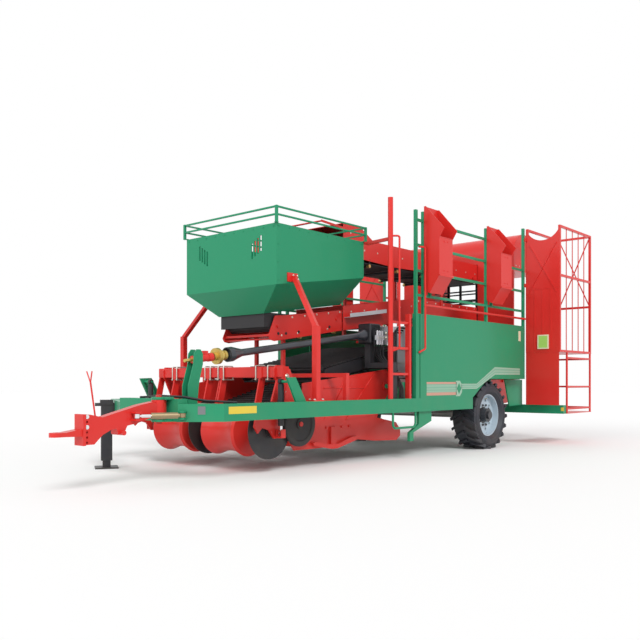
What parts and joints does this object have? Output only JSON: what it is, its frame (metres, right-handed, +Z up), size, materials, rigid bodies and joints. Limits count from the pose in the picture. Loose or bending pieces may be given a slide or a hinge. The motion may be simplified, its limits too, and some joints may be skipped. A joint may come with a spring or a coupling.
{
  "type": "two-row trailed potato harvester",
  "caption": "Trailed two-row potato harvester with front hopper, hinged digging head, drive shaft, side picking platforms, rear elevator and caged rear corners.",
  "frame": {"origin": "on the ground, under the middle of the machine's bounding box", "axes": "+X forwards to the hitch, +Y to the machine's left, +Z up"},
  "size_m": [9.5399, 4.12, 3.62],
  "materials": {
    "green": "satin",
    "red": "gloss",
    "dark_steel": "satin",
    "bare_steel": "satin",
    "chrome": "polished",
    "gold": "satin",
    "rubber": "matt",
    "tyre": "matt",
    "rim_grey": "satin",
    "plastic": "satin",
    "cooler": "satin"
  },
  "bodies": {
    "root": {"main_frame": "green", "axle": "bare_steel", "platforms": "green", "chutes": "red", "lower_cages": "red", "rear_cage_left": "red", "rear_cage_right": "red", "jack_sleeve": "dark_steel", "pto_stand": "green", "pto_bearing": "red", "drive_guard": "plastic", "gearbox": "dark_steel", "valve_block": "cooler", "oil_tank": "dark_steel", "hopper": "green", "hopper_rails": "green", "hopper_struts": "red", "unload_frame": "red", "unload_belt": "rubber", "conveyor_posts": "red", "ladder": "red", "side_panels": "green", "guard_rails": "green", "red_rails": "red", "picking_frame": "red", "picking_belt": "rubber", "inner_webs": "rubber", "web_walls": "green", "elevator_housing": "red", "elevator_web": "rubber", "side_tray": "cooler", "fill_frame": "red", "fill_belt": "rubber", "web_rails": "dark_steel", "oil_cooler": "cooler", "hoses": "rubber"},
    "wheel_left": {"tyre_left": "tyre", "rim_left": "rim_grey"},
    "wheel_right": {"tyre_right": "tyre", "rim_right": "rim_grey"},
    "drawbar_arm": {"drawbar": "red"},
    "steer_barrel": {"steer_barrel": "gold"},
    "steer_rod": {"steer_rod": "chrome"},
    "jack_leg": {"jack_leg": "dark_steel"},
    "digging_head": {"head_frame": "red", "head_sides": "red", "shares": "bare_steel", "primary_web": "rubber"},
    "lift_barrel_left": {"lift_barrel_left": "dark_steel"},
    "lift_rod_left": {"lift_rod_left": "chrome"},
    "lift_barrel_right": {"lift_barrel_right": "dark_steel"},
    "lift_rod_right": {"lift_rod_right": "chrome"},
    "diabolo_left": {"diabolo_left": "red"},
    "diabolo_right": {"diabolo_right": "red"},
    "coulter_middle": {"coulter_middle": "dark_steel"},
    "coulter_left": {"coulter_left": "dark_steel"},
    "coulter_right": {"coulter_right": "dark_steel"},
    "intake_wheel_left": {"intake_wheel_left": "rubber"},
    "intake_wheel_right": {"intake_wheel_right": "rubber"},
    "pto_input": {"pto_input": "gold"}
  },
  "joints": [
    {"name": "wheel_left_spin", "type": "hinge", "parent": "root", "child": "wheel_left", "pos_m": [-2.34, 1.23, 0.525], "axis": [0, 1, 0], "continuous": true},
    {"name": "wheel_right_spin", "type": "hinge", "parent": "root", "child": "wheel_right", "pos_m": [-2.34, -1.23, 0.525], "axis": [0, 1, 0], "continuous": true},
    {"name": "drawbar_steer", "type": "hinge", "parent": "root", "child": "drawbar_arm", "pos_m": [3.585, 0.93, 0.765], "axis": [0, 0, 1], "range_deg": [-15, 15]},
    {"name": "steer_barrel_swing", "type": "hinge", "parent": "root", "child": "steer_barrel", "pos_m": [3.51, 1.215, 0.71], "axis": [0, 0, 1], "range_deg": [-10, 10]},
    {"name": "steer_rod_slide", "type": "slide", "parent": "steer_barrel", "child": "steer_rod", "axis": [0.9053, -0.4247, 0], "range_m": [-0.0625, 0.0625]},
    {"name": "jack_slide", "type": "slide", "parent": "root", "child": "jack_leg", "axis": [0, 0, 1], "range_m": [-0.3, 0]},
    {"name": "head_lower", "type": "hinge", "parent": "root", "child": "digging_head", "pos_m": [-0.11, 0, 0.985], "axis": [0, 1, 0], "range_deg": [0, 8]},
    {"name": "lift_barrel_left_swing", "type": "hinge", "parent": "root", "child": "lift_barrel_left", "pos_m": [2.12, 1.222, 1.045], "axis": [0, 1, 0], "range_deg": [0, 6.2]},
    {"name": "lift_rod_left_slide", "type": "slide", "parent": "lift_barrel_left", "child": "lift_rod_left", "axis": [0, 0, -1], "range_m": [0, 0.32]},
    {"name": "lift_barrel_right_swing", "type": "hinge", "parent": "root", "child": "lift_barrel_right", "pos_m": [2.12, -1.222, 1.045], "axis": [0, 1, 0], "range_deg": [0, 6.2]},
    {"name": "lift_rod_right_slide", "type": "slide", "parent": "lift_barrel_right", "child": "lift_rod_right", "axis": [0, 0, -1], "range_m": [0, 0.32]},
    {"name": "diabolo_left_spin", "type": "hinge", "parent": "digging_head", "child": "diabolo_left", "pos_m": [2.15, 0.465, 0.46], "axis": [0, 1, 0], "continuous": true},
    {"name": "diabolo_right_spin", "type": "hinge", "parent": "digging_head", "child": "diabolo_right", "pos_m": [2.15, -0.465, 0.46], "axis": [0, 1, 0], "continuous": true},
    {"name": "coulter_left_spin", "type": "hinge", "parent": "digging_head", "child": "coulter_left", "pos_m": [2.177, 1.09, 0.49], "axis": [0, 1, 0], "continuous": true},
    {"name": "coulter_right_spin", "type": "hinge", "parent": "digging_head", "child": "coulter_right", "pos_m": [1.97, -0.925, 0.49], "axis": [0, 1, 0], "continuous": true},
    {"name": "coulter_middle_spin", "type": "hinge", "parent": "digging_head", "child": "coulter_middle", "pos_m": [2.13, 0, 0.49], "axis": [0, 1, 0], "continuous": true},
    {"name": "intake_wheel_left_spin", "type": "hinge", "parent": "digging_head", "child": "intake_wheel_left", "pos_m": [1.71, 1.127, 0.545], "axis": [0, 1, 0], "continuous": true},
    {"name": "intake_wheel_right_spin", "type": "hinge", "parent": "digging_head", "child": "intake_wheel_right", "pos_m": [1.71, -1.127, 0.545], "axis": [0, 1, 0], "continuous": true},
    {"name": "pto_input_spin", "type": "hinge", "parent": "root", "child": "pto_input", "pos_m": [3.06, 0.93, 1.289], "axis": [0.991, 0, -0.1338], "continuous": true}
  ],
  "couplings": [
    {"joint": "steer_barrel_swing", "follows": "drawbar_steer", "ratio": 0.58},
    {"joint": "steer_rod_slide", "follows": "drawbar_steer", "m_per_rad": -0.2254},
    {"joint": "lift_barrel_left_swing", "follows": "head_lower", "ratio": 0.757},
    {"joint": "lift_rod_left_slide", "follows": "head_lower", "m_per_rad": 2.222},
    {"joint": "lift_barrel_right_swing", "follows": "head_lower", "ratio": 0.757},
    {"joint": "lift_rod_right_slide", "follows": "head_lower", "m_per_rad": 2.222}
  ]
}
